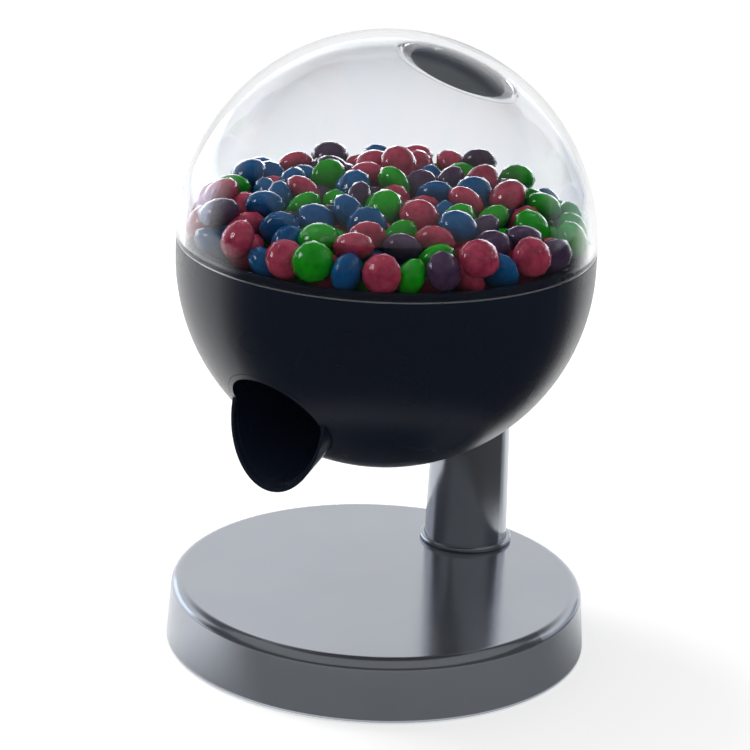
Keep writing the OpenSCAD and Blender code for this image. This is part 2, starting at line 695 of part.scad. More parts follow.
module shaft_bush() color(c_brass) globe_axis() difference() {
    union() {
        translate([0, 0, floor_z]) cylinder(r = bush_r, h = floor_t);
        translate([0, 0, floor_z - bush_flange]) cylinder(r = bush_r + 1.6, h = bush_flange);
    }
    translate([0, 0, floor_z - 5]) cylinder(r = shaft_d / 2 + run, h = 10);
}
module case_outline(inset) {
    circle(r = case_rotor_r - inset);
    translate(idler_at) circle(r = case_idler_r - inset);
    translate(motor_at) circle(r = case_motor_r - inset);
}
module gear_case() color(c_ivory) globe_axis() difference() {
    translate([0, 0, case_z]) linear_extrude(floor_z - case_z) {
        case_outline(0);
        for (p = lugs) translate(p) circle(r = lug_r);
    }
    translate([0, 0, case_z + case_floor]) linear_extrude(far) case_outline(case_wall);
    for (p = lugs) translate([p[0], p[1], case_z - 1]) cylinder(r = 1.4, h = far);
    translate([0, 0, case_z - 1]) cylinder(r = shaft_d / 2 + run, h = far);
    translate([idler_at[0], idler_at[1], case_z - 1]) cylinder(r = axle_d / 2 + press, h = far);
    translate([motor_at[0], motor_at[1], case_z - 1]) {
        cylinder(r = motor_boss_r + slip, h = far);
        for (s = [-1, 1]) translate([0, s * motor_screw_at, 0]) cylinder(r = 1.1, h = far);
    }
}
module case_screws() color(c_dark_metal) globe_axis() for (p = lugs)
    translate([p[0], p[1], case_z]) rotate([180, 0, 0]) screw(floor_z - case_z + 1.6, 1.15, 2.2, 1.3);
module idler_axle() color(c_metal) globe_axis() translate([idler_at[0], idler_at[1], case_z])
    cylinder(d = axle_d, h = floor_z - case_z + 1.4);
module idler_wheel() color(c_ivory) globe_axis() translate([idler_at[0], idler_at[1], 0]) {
    translate([0, 0, idler_large_z]) spur(idler_large_teeth, gear_w, axle_d / 2 + run);
    translate([0, 0, idler_large_z + gear_w - 0.01])
        spur(idler_small_teeth, rotor_gear_z - idler_large_z + 0.01, axle_d / 2 + run,
            180 / idler_small_teeth);
}
module motor() color(c_metal) globe_axis() translate([motor_at[0], motor_at[1], motor_z]) difference() {
    union() {
        cylinder(d = motor_d, h = motor_l);
        translate([0, 0, motor_l]) cylinder(r = motor_boss_r, h = motor_boss_h);
        for (s = [-1, 1]) translate([s * 5 - 1, -0.25, -2.4]) cube([2, 0.5, 3]);
    }
    translate([0, 0, motor_l - 6]) cylinder(r = motor_shaft_d / 2 + run, h = far);
    for (s = [-1, 1]) translate([0, s * motor_screw_at, motor_l - 3.5]) cylinder(r = 0.95, h = 5);
}
module motor_screws() color(c_dark_metal) globe_axis()
    translate([motor_at[0], motor_at[1], case_z + case_floor])
        for (s = [-1, 1]) translate([0, s * motor_screw_at, 0]) screw(case_floor + 2.6, 0.9, 1.8, 1);
module motor_shaft() color(c_metal) globe_axis() translate([motor_at[0], motor_at[1], case_z - 5.5])
    cylinder(d = motor_shaft_d, h = idler_large_z + gear_w + 0.6 - case_z + 5.5);
module drive_pinion() color(c_brass) globe_axis() translate([motor_at[0], motor_at[1], idler_large_z])
    spur(pinion_teeth, gear_w, motor_shaft_d / 2 + press, 180 / pinion_teeth);
module rotor_shaft() color(c_metal) globe_axis() translate([0, 0, case_z - 1])
    cylinder(d = shaft_d, h = rotor_top + cap_h * 0.4 - case_z + 1);
module rotor_gear() color(c_ivory) globe_axis() translate([0, 0, rotor_gear_z])
    spur(rotor_teeth, gear_w, shaft_d / 2 + press);
module rotor() color([0.3, 0.31, 0.33]) globe_axis() difference() {
    translate([0, 0, rotor_z]) cylinder(r = rotor_r, h = rotor_t);
    for (i = [0:pockets - 1]) rotate([0, 0, 360 * (i + 0.5) / pockets])
        translate([0, -pocket_r, rotor_z - 1]) cylinder(d = pocket_d, h = rotor_t + 2);
    translate([0, 0, rotor_z - 1]) cylinder(r = shaft_d / 2 + press, h = rotor_t + 2);
}
module rotor_cap() color([0.3, 0.31, 0.33]) globe_axis() translate([0, 0, rotor_top]) difference() {
    cylinder(d1 = cap_d, d2 = 6, h = cap_h);
    translate([0, 0, -1]) cylinder(r = shaft_d / 2 + press, h = cap_h * 0.4 + 1);
}

// ---- dome and lid ----
module lid_axis() { globe_axis() translate([0, 0, seam_h]) rotate([-lid_tilt, 0, 0]) children(); }
module dome() color(c_clear) difference() {
    union() {
        globe_axis() difference() {
            translate([0, 0, seam_h]) sphere(r = globe_r, $fn = 192);
            translate([0, 0, seam_h]) sphere(r = dome_in, $fn = 192);
            translate([0, 0, seam_h - far]) cylinder(r = far / 2, h = far);
        }
        lid_axis() intersection() {
            translate([0, 0, neck_z]) cylinder(r = neck_r, h = globe_r);
            sphere(r = globe_r - 0.2, $fn = 192);
        }
    }
    lid_axis() {
        translate([0, 0, lid_low - seal_t]) cylinder(r = lid_r + slip, h = globe_r);
        translate([0, 0, neck_z - 5]) cylinder(r = hole_r, h = globe_r);
    }
}
module fill_lid() color(c_metal) lid_axis() difference() {
    union() {
        translate([0, 0, lid_low]) cylinder(r = lid_r, h = lid_flange);
        translate([0, 0, lid_low - lid_skirt]) cylinder(r = skirt_r, h = lid_skirt + 0.5);
    }
    translate([0, 0, lid_low - lid_skirt - 1]) difference() {
        cylinder(r = skirt_r - lid_wall, h = lid_skirt + 1);
        cylinder(r = cup_r + lid_wall, h = lid_skirt + 2);
    }
    difference() {
        translate([0, 0, lid_top - cup_depth]) cylinder(r = cup_r, h = globe_r);
        translate([-grip_w / 2, -cup_r - 1, lid_top - cup_depth - 1])
            cube([grip_w, 2 * cup_r + 2, cup_depth + 1 - 0.3]);
    }
}
module lid_seal() color([0.75, 0.77, 0.8]) lid_axis() translate([0, 0, lid_low - seal_t])
    ring(skirt_r + press, lid_r - 0.4, seal_t);

// ---- candies ----
module candy() rotate_extrude() {
    intersection() {
        translate([0, -cap_off]) circle(r = cap_r);
        translate([0, cap_off]) circle(r = cap_r);
        translate([0, -candy_t]) square([cap_x, 2 * candy_t]);
    }
    intersection() {
        translate([candy_r - candy_edge, 0]) circle(r = candy_edge);
        translate([cap_x, -candy_t]) square([candy_r, 2 * candy_t]);
    }
}
// room for a candy's centre around the globe's axis at height z
function room(z) = min(z < funnel_top ? well_r + (z - 0.4 * candy_t - well_top) / funnel_slope : collar_in,
    z > seam_h ? sqrt(dome_in * dome_in - pow(z + 0.4 * candy_t - seam_h, 2)) : collar_in) - candy_r - lay;
// the layers below the top one are full, and the top one is patchy
function heap(i, j, layer) = layer < candy_layers - 1 || (i * 3 + j * 5 + i * i + 70) % 7 > 2;
function tint(i, j, layer) = (i * 2 + j * 3 + layer + (i * j) % 3 + 60) % 4;
module candies(colour_index) globe_axis()
    for (layer = [0:candy_layers - 1]) for (i = [-candy_rows:candy_rows]) for (j = [-candy_rows:candy_rows]) {
        x = (i + j / 2 + (layer % 2) / 2) * candy_pitch;
        y = (j * 0.866 + (layer % 2) * 0.289) * candy_pitch;
        z = candy_z0 + layer * candy_step;
        if (norm([x, y]) < room(z) && heap(i, j, layer) && tint(i, j, layer) == colour_index
            && (layer > 0 || norm([x, y]) > cap_d / 2 + candy_r + lay))
            translate([x, y, z]) candy();
    }
module candies_green() color([0.1, 0.6, 0.08]) candies(0);
module candies_blue() color([0.03, 0.33, 0.6]) candies(1);
module candies_red() color([0.72, 0.1, 0.25]) candies(2);
module candies_purple() color([0.3, 0.22, 0.36]) candies(3);

base_shell();
bottom_cover();
rubber_feet();
cover_screws();
battery_door();
battery_cells();
battery_contacts();
power_switch();
switch_knob();
control_board();
board_screws();
column_tube();
column_bead();
column_washer();
column_nut();
column_screw();
wiring_lead();
bowl();
chute();
chute_screws();
sensor_window();
sensor_board();
sensor_screws();
hopper();
hopper_screws();
shaft_bush();
gear_case();
case_screws();
idler_axle();
idler_wheel();
motor();
motor_screws();
motor_shaft();
drive_pinion();
rotor_shaft();
rotor_gear();
rotor();
rotor_cap();
dome();
fill_lid();
lid_seal();
candies_green();
candies_blue();
candies_red();
candies_purple();
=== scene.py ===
import math
import random

import bmesh
import bpy
import numpy as np
from mathutils import Matrix, Quaternion, Vector


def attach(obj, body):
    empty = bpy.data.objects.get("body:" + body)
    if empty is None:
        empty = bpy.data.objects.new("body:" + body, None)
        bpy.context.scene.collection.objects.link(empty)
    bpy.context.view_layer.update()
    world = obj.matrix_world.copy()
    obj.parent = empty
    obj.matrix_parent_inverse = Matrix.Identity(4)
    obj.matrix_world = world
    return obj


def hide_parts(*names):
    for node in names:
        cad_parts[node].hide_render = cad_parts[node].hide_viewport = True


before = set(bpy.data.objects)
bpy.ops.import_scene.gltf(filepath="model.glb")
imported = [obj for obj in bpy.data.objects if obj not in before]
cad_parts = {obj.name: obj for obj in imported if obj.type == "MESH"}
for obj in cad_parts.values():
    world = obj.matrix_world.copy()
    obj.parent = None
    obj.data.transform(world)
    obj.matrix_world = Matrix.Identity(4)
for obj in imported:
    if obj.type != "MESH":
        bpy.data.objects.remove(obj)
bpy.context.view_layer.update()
print("frame loaded:", len(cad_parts), "nodes")

scene = bpy.context.scene
mm = 0.001


# camera

view = {
    "at": (0.5861, -0.7559, 0.4251),
    "towards": (-0.58208, 0.74503, -0.32573),
    "roll": 2.42,  # degrees
    "lens": 143.58,
    "sensor": 36,
}
lens = bpy.data.cameras.new("camera")
lens.lens = view["lens"]
lens.sensor_width = view["sensor"]
camera = bpy.data.objects.new("camera", lens)
camera.rotation_mode = "QUATERNION"
roll = Quaternion((0, 0, 1), math.radians(view["roll"]))
camera.rotation_quaternion = Vector(view["towards"]).to_track_quat("-Z", "Y") @ roll
camera.location = view["at"]
scene.collection.objects.link(camera)
scene.camera = camera
print("camera placed")


# node maths


class Wire:
    # one output in a node tree; sums written on it add Math nodes
    def __init__(self, tree, socket=None):
        self.tree = tree
        self.socket = socket

    def node(self, kind, settings=None, values=None, out=0):
        made = self.tree.nodes.new("ShaderNode" + kind)
        for name, value in (settings or {}).items():
            if name == "stops":
                ramp = made.color_ramp
                while len(ramp.elements) < len(value):
                    ramp.elements.new(1)
                for stop, (place, shade) in zip(ramp.elements, value):
                    stop.position = place
                    stop.color = (*shade, 1)
            else:
                setattr(made, name, value)
        for key, value in (values or {}).items():
            self.feed(made.inputs[key], value)
        return Wire(self.tree, made.outputs[out])

    def feed(self, socket, value):
        if isinstance(value, Wire):
            self.tree.links.new(value.socket, socket)
        else:
            socket.default_value = value

    def work(self, operation, *parts):
        return self.node("Math", {"operation": operation}, dict(enumerate(parts)))

    def __add__(self, other):
        return self.work("ADD", self, other)

    __radd__ = __add__

    def __sub__(self, other):
        return self.work("SUBTRACT", self, other)

    def __rsub__(self, other):
        return self.work("SUBTRACT", other, self)

    def __mul__(self, other):
        return self.work("MULTIPLY", self, other)

    __rmul__ = __mul__

    def __gt__(self, other):
        return self.work("GREATER_THAN", self, other)


def startTree(name):
    material = bpy.data.materials.new(name)
    material.use_nodes = True
    tree = material.node_tree
    tree.nodes.clear()
    out = tree.nodes.new("ShaderNodeOutputMaterial")
    return material, Wire(tree), out.inputs["Surface"]


def grain(wire, scale, detail=3, rough=0.5):
    return wire.node("TexNoise", values={
        "Vector": wire.node("TexCoord", out="Object"), "Scale": scale, "Detail": detail, "Roughness": rough})


def tinted(wire, amount, dark, light):
    darkAt, lightAt = 0.3, 0.7  # most of the noise lies between these
    return wire.node("ValToRGB", {"stops": [(darkAt, dark), (lightAt, light)]}, {"Fac": amount})


def between(amount, ends):
    return amount * (ends[1] - ends[0]) + ends[0]


def finishOf(name, dark, light, rough, blotch, fine, bump, depth=0.0001, **fixed):
    # a surface with a slow change of tone and a fine grain; fixed holds values for the shader's own sockets
    material, wire, out = startTree(name)
    slow = grain(wire, blotch)
    quick = grain(wire, fine, 4, 0.6)
    wire.feed(out, wire.node("BsdfPrincipled", values={
        "Base Color": tinted(wire, slow * 0.5 + quick * 0.5, dark, light),
        "Roughness": between(slow, rough),
        "Normal": wire.node("Bump", values={"Height": quick, "Strength": bump, "Distance": depth}),
        **fixed,
    }))
    return material


# finishes: blotch and fine are how many patches of tone and of grain there are to a metre

surfaces = {
    "silverPaint": {"dark": (0.385, 0.41, 0.46), "light": (0.445, 0.47, 0.52), "rough": (0.13, 0.19),
                    "blotch": 35, "fine": 2600, "bump": 0.05, "depth": 0.00004, "Metallic": 0.86},
    "blackPlastic": {"dark": (0.0055, 0.0095, 0.021), "light": (0.007, 0.012, 0.026), "rough": (0.24, 0.32),
                     "blotch": 30, "fine": 1800, "bump": 0.06, "depth": 0.00005},
    "zincSteel": {"dark": (0.40, 0.41, 0.43), "light": (0.52, 0.53, 0.55), "rough": (0.25, 0.4),
                  "blotch": 200, "fine": 1500, "bump": 0.1, "Metallic": 1.0},
    "lidGrey": {"dark": (0.14, 0.17, 0.205), "light": (0.19, 0.225, 0.265), "rough": (0.5, 0.6),
                "blotch": 60, "fine": 1500, "bump": 0.05, "Specular IOR Level": 0.08},
    "silicone": {"dark": (0.05, 0.06, 0.075), "light": (0.07, 0.082, 0.1), "rough": (0.5, 0.6),
                 "blotch": 80, "fine": 900, "bump": 0.05, "Specular IOR Level": 0.1},
    "footRubber": {"dark": (0.012, 0.012, 0.012), "light": (0.022, 0.022, 0.022), "rough": (0.7, 0.85),
                   "blotch": 90, "fine": 700, "bump": 0.3},
    "rotorGrey": {"dark": (0.022, 0.023, 0.026), "light": (0.034, 0.035, 0.038), "rough": (0.35, 0.5),
                  "blotch": 60, "fine": 1400, "bump": 0.1},
    "gearIvory": {"dark": (0.58, 0.55, 0.48), "light": (0.66, 0.64, 0.57), "rough": (0.35, 0.5),
                  "blotch": 90, "fine": 1200, "bump": 0.06},
    "turnedBrass": {"dark": (0.55, 0.38, 0.13), "light": (0.66, 0.48, 0.2), "rough": (0.2, 0.32),
                    "blotch": 300, "fine": 1500, "bump": 0.08, "Metallic": 1.0},
    "circuitGreen": {"dark": (0.01, 0.07, 0.03), "light": (0.02, 0.11, 0.045), "rough": (0.25, 0.4),
                     "blotch": 400, "fine": 1600, "bump": 0.15},
    "cellSleeve": {"dark": (0.012, 0.03, 0.02), "light": (0.02, 0.045, 0.03), "rough": (0.2, 0.3),
                   "blotch": 120, "fine": 900, "bump": 0.04},
    "motorCan": {"dark": (0.42, 0.43, 0.45), "light": (0.55, 0.56, 0.58), "rough": (0.25, 0.4),
                 "blotch": 150, "fine": 1500, "bump": 0.08, "Metallic": 1.0},
    "leadSheath": {"dark": (0.01, 0.01, 0.011), "light": (0.018, 0.018, 0.02), "rough": (0.45, 0.6),
                   "blotch": 200, "fine": 900, "bump": 0.1},
    "groundEdge": {"dark": (0.50, 0.53, 0.58), "light": (0.60, 0.63, 0.68), "rough": (0.2, 0.3),
                   "blotch": 60, "fine": 1200, "bump": 0.05, "Metallic": 0.8},
    "redWindow": {"dark": (0.012, 0.002, 0.004), "light": (0.02, 0.003, 0.006), "rough": (0.08, 0.16),
                  "blotch": 150, "fine": 900, "bump": 0.02},
}
clear = {"dark": (0.905, 0.92, 0.945), "light": (0.92, 0.935, 0.955), "blotch": 25, "rough": 0.0, "ior": 1.49,
         "bump": 0.02, "depth": 0.0003}
sugar = {"patch": 260, "pits": 900, "patchShare": 0.7, "pitsShare": 0.3, "rough": (0.05, 0.11), "bump": 0.12,
         "depth": 0.0002}


def clearFinish(name):
    material, wire, out = startTree(name)
    slow = grain(wire, clear["blotch"])
    wire.feed(out, wire.node("BsdfPrincipled", values={
        "Base Color": tinted(wire, slow, clear["dark"], clear["light"]),
        "Roughness": clear["rough"],
        "IOR": clear["ior"],
        "Transmission Weight": 1.0,
        "Normal": wire.node("Bump", values={
            "Height": slow, "Strength": clear["bump"], "Distance": clear["depth"]}),
    }))
    return material


def candyFinish(name, dark, light):
    # a polished sugar shell, a little patchy and pitted
    material, wire, out = startTree(name)
    patch = grain(wire, sugar["patch"], 4, 0.6)
    pits = grain(wire, sugar["pits"], 2, 0.5)
    relief = patch * sugar["patchShare"] + pits * sugar["pitsShare"]
    wire.feed(out, wire.node("BsdfPrincipled", values={
        "Base Color": tinted(wire, patch, dark, light),
        "Roughness": between(patch, sugar["rough"]),
        "Normal": wire.node("Bump", values={
            "Height": relief, "Strength": sugar["bump"], "Distance": sugar["depth"]}),
    }))
    return material


finishes = {name: finishOf(name, **surface) for name, surface in surfaces.items()}
finishes["clearAcrylic"] = clearFinish("clearAcrylic")
# the nodes that wear each finish
worn = {
    "silverPaint": ["base_shell", "column_tube", "column_bead"],
    "blackPlastic": ["bottom_cover", "battery_door", "power_switch", "switch_knob", "bowl", "chute",
                     "hopper"],
    "zincSteel": ["cover_screws", "battery_contacts", "board_screws", "column_washer", "column_nut",
                  "column_screw", "chute_screws", "sensor_screws", "hopper_screws", "case_screws",
                  "idler_axle", "motor_screws", "motor_shaft", "rotor_shaft"],
    "lidGrey": ["fill_lid"],
    "silicone": ["lid_seal"],
    "footRubber": ["rubber_feet"],
    "rotorGrey": ["rotor", "rotor_cap"],
    "gearIvory": ["gear_case", "idler_wheel", "rotor_gear"],
    "turnedBrass": ["shaft_bush", "drive_pinion"],
    "circuitGreen": ["control_board", "sensor_board"],
    "cellSleeve": ["battery_cells"],
    "motorCan": ["motor"],
    "leadSheath": ["wiring_lead"],
    "redWindow": ["sensor_window"],
    "clearAcrylic": ["dome"],
}
for finish, names in worn.items():
    for name in names:
        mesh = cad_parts[name].data
        mesh.materials.clear()
        mesh.materials.append(finishes[finish])
print("finishes on", sum(len(names) for names in worn.values()), "nodes")


# shaping helpers

weldGap = 1e-6  # vertices closer than this become one


def lathe(bm, points, steps, turn=math.tau, merge=True):
    # turns a row of joined vertices at (radius, height) about the upright axis
    verts = [bm.verts.new((r, 0, z)) for r, z in points]
    row = verts + [bm.edges.new(pair) for pair in zip(verts, verts[1:])]
    bmesh.ops.spin(bm, geom=row, axis=(0, 0, 1), cent=(0, 0, 0), steps=steps, angle=turn, use_merge=merge,
                   use_duplicate=False)
    bmesh.ops.remove_doubles(bm, verts=bm.verts, dist=weldGap)


def circle(r, sides):
    bm = bmesh.new()
    bmesh.ops.create_circle(bm, cap_ends=True, segments=sides, radius=r)
    return bm


def arcPoints(centre, r, start, stop, count):
    turns = [math.radians(start + (stop - start) * i / count) for i in range(count + 1)]
    return [(centre[0] + r * math.cos(a), centre[1] + r * math.sin(a)) for a in turns]


def smoothFaces(bm):
    bmesh.ops.recalc_face_normals(bm, faces=bm.faces)
    for face in bm.faces:
        face.smooth = True


def meshFrom(bm, name):
    mesh = bpy.data.meshes.new(name)
    bm.to_mesh(mesh)
    bm.free()
    return mesh


def pieceFrom(bm, name, *materials):
    mesh = meshFrom(bm, name)
    for material in materials:
        mesh.materials.append(material)
    piece = bpy.data.objects.new(name, mesh)
    scene.collection.objects.link(piece)
    return piece


# clear dome

globe = {
    "r": 70 * mm, "axisY": -2.4 * mm, "seam": 143.7 * mm, "wall": 3 * mm,
    "chamfer": 0.35 * mm, "chamferSteps": 2, "edge": 0.65 * mm,  # edge: how high the ground rim reaches
    "outerSteps": 96, "innerSteps": 90, "turnSteps": 192,
    "spare": 4,  # degrees of wall made below the seam, and cut off again
    "crease": 0.6, "near": 1e-4, "slack": 0.01 * mm,
}
lid = {"tilt": 34, "r": 20.4 * mm, "top": 66.96 * mm, "flange": 1.6 * mm, "seal": 0.4 * mm, "hole": 17.2 * mm,
       "neck": 22.6 * mm, "neckDepth": 1.8 * mm, "play": 0.15 * mm}
globeCentre = Vector((0, globe["axisY"], globe["seam"]))
lidFrame = Matrix.Translation(globeCentre) @ Matrix.Rotation(math.radians(-lid["tilt"]), 4, "X")


def seamEdges(bm, reach):
    return [e for e in bm.edges if all(
        abs(v.co.z - globe["seam"]) < weldGap and abs((v.co - globeCentre).length - reach) < globe["near"]
        for v in e.verts)]


def cutLevel(bm, height, **settings):
    bmesh.ops.bisect_plane(bm, geom=bm.verts[:] + bm.edges[:] + bm.faces[:], plane_no=(0, 0, 1),
                           plane_co=(0, globe["axisY"], height), **settings)


def makeDome():
    # lathed about the lid's tilted axis, then cut level at the seam
    seat = lid["top"] - lid["flange"] - lid["seal"]
    mouth = lid["r"] + lid["play"]
    inner = globe["r"] - globe["wall"]
    far = -lid["tilt"] - globe["spare"]
    outerStart = math.degrees(math.acos(mouth / globe["r"]))
    innerStart = math.degrees(math.acos(lid["neck"] / inner))
    low = seat - lid["neckDepth"]
    profile = arcPoints((0, 0), globe["r"], far, outerStart, globe["outerSteps"])
    profile += [(mouth, seat), (lid["hole"], seat), (lid["hole"], low), (lid["neck"], low)]
    profile += arcPoints((0, 0), inner, innerStart, far, globe["innerSteps"])
    bm = bmesh.new()
    lathe(bm, profile, globe["turnSteps"])
    bmesh.ops.transform(bm, matrix=lidFrame, verts=bm.verts)
    cutLevel(bm, globe["seam"], clear_inner=True)
    bmesh.ops.remove_doubles(bm, verts=bm.verts, dist=2 * weldGap)
    bmesh.ops.bridge_loops(bm, edges=[e for e in bm.edges if e.is_boundary])
    cutLevel(bm, globe["seam"] + globe["edge"])
    bmesh.ops.bevel(bm, geom=seamEdges(bm, globe["r"]) + seamEdges(bm, inner), offset=globe["chamfer"],
                    offset_type="OFFSET", segments=globe["chamferSteps"], profile=0.5, affect="EDGES",
                    material=-1)
    smoothFaces(bm)
    for edge in bm.edges:
        if len(edge.link_faces) == 2 and edge.calc_face_angle() > globe["crease"]:
            edge.smooth = False
    piece = pieceFrom(bm, "clearDome", finishes["clearAcrylic"], finishes["groundEdge"])
    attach(piece, "dome")
    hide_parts("dome")
    # the outer rim just above the seam is ground
    rimTop = globe["edge"] + globe["slack"]
    rimSide = globe["r"] - globe["chamfer"] * 2
    for face in piece.data.polygons:
        spots = [piece.data.vertices[i].co - globeCentre for i in face.vertices]
        if all(spot.z < rimTop and spot.length > rimSide for spot in spots):
            face.material_index = 1
    return piece


dome = makeDome()
dome.visible_shadow = False
dome.visible_diffuse = False
print("dome made:", len(dome.data.polygons), "faces")


# candies, settled in the hopper by a small packing simulation

candy = {"r": 6.75 * mm, "half": 4.5 * mm, "edge": 3.2 * mm, "sides": 12, "arcSteps": 2, "count": 264,
         "seed": 5, "mixSeed": 1650}
layers = {
    "first": 138.6 * mm, "rise": 8.4,  # rise and scatter in millimetres
    "pitch": 13.9 * mm, "across": 8, "rowGap": 0.866, "nest": 0.29,
    "bare": 19 * mm,  # no candy over the rotor's cap in the first layer
    "widen": 1.5, "inset": 5 * mm, "mound": (-44 * mm, 16 * mm), "scatter": 35,
}
settling = {
    "steps": 700, "ring": 12, "upright": 1.1,
    "size": 0.72, "gain": 0.28, "gainUntil": 0.4,  # share of its size at the start, and when it is whole
    "pairsEvery": 8, "pairReach": 15 * mm,
    "sink": 0.1 * mm, "lateSink": 0.02 * mm, "lateFrom": 0.85,
    "spin": 15 * mm ** 2, "wallTurn": 0.5, "ease": 0.6, "domeGap": 0.25 * mm, "tiny": 1e-9,
}
hopper = {"floor": 133.5 * mm, "wellR": 42.5 * mm, "funnelTop": 144.9 * mm, "collarR": 64.6 * mm,
          "collarTop": 146.3 * mm, "capR": 13.3 * mm, "capTop": 139.6 * mm}
sweets = {
    "green": (68, (0.002, 0.19, 0.001), (0.006, 0.32, 0.003)),
    "blue": (66, (0.001, 0.045, 0.14), (0.003, 0.085, 0.23)),
    "red": (80, (0.23, 0.018, 0.045), (0.44, 0.05, 0.095)),
    "purple": (50, (0.034, 0.016, 0.042), (0.065, 0.032, 0.075)),
}


def candyMesh():
    # a lens with a rounded edge, as two caps that run into a ring
    inset = candy["r"] - candy["edge"]
    rise = candy["half"] - candy["edge"]
    off = (inset ** 2 - rise ** 2) / (2 * rise)
    cap = off + candy["half"]
    join = math.degrees(math.atan2(inset, off))
    side = arcPoints((inset, 0), candy["edge"], -90 + join, 90 - join, candy["arcSteps"])
    top = arcPoints((0, -off), cap, 90 - join, 90, candy["arcSteps"])[1:]
    bottom = [(r, -z) for r, z in reversed(top)]
    bm = bmesh.new()
    lathe(bm, bottom + side + top, candy["sides"])
    smoothFaces(bm)
    return meshFrom(bm, "candyShape")


def slopeOf(run, rise):
    # the two parts of a slope's direction
    length = math.hypot(run, rise)
    return run / length, rise / length


def wallPush(balls, radii):
    # how far, and which way, each ball has to move to be inside the hopper and the dome
    push = np.zeros_like(balls)
    x, y, z = balls[..., 0], balls[..., 1], balls[..., 2]
    flat = np.maximum(np.hypot(x, y), settling["tiny"])
    out = np.stack((x / flat, y / flat, np.zeros_like(x)), -1)
    up = np.array((0, 0, 1.0))
    push += np.maximum(hopper["floor"] + radii - z, 0)[..., None] * up
    along, rise = slopeOf(hopper["collarR"] - hopper["wellR"], hopper["funnelTop"] - hopper["floor"])
    funnel = (hopper["wellR"] - flat) * rise + (z - hopper["floor"]) * along
    push += np.maximum(radii - funnel, 0)[..., None] * (up * along - out * rise)
    above, beside = slopeOf(hopper["capR"], hopper["capTop"] - hopper["floor"])
    cone = (flat - hopper["capR"]) * beside + (z - hopper["floor"]) * above
    push += (np.maximum(radii - cone, 0) * (flat < hopper["capR"]))[..., None] * (up * above + out * beside)
    push -= (np.maximum(flat + radii - hopper["collarR"], 0) * (z < hopper["collarTop"]))[..., None] * out
    centre = np.array((0, 0, globe["seam"]))
    far = np.maximum(np.linalg.norm(balls - centre, axis=-1), settling["tiny"])
    room = globe["r"] - globe["wall"] - settling["domeGap"]
    over = np.maximum(far + radii - room, 0) * (z > globe["seam"])
    return push - (over / far)[..., None] * (balls - centre)


def startPlaces(chance):
    # loose layers, the last of which is heaped to one side
    pitch = layers["pitch"]
    wide = range(-layers["across"], layers["across"] + 1)
    mound = layers["mound"]
    places = []
    layer = 0
    while len(places) < candy["count"]:
        z = layers["first"] + layer * layers["rise"] * mm
        odd = layer % 2
        reach = min(hopper["collarR"], hopper["wellR"] + (z - hopper["floor"]) * layers["widen"])
        reach -= layers["inset"]
        bare = 0 if layer else layers["bare"]
        spots = [((i + j / 2 + odd / 2) * pitch, (j * layers["rowGap"] + odd * layers["nest"]) * pitch, z)
                 for i in wide for j in wide]
        spots = [spot for spot in spots if bare <= math.hypot(*spot[:2]) < reach]
        spots.sort(key=lambda s: math.hypot(s[0] - mound[0], s[1] - mound[1])
                   + chance.uniform(0, layers["scatter"]) * mm)
        places += spots
        layer += 1
    return np.array(places[:candy["count"]])


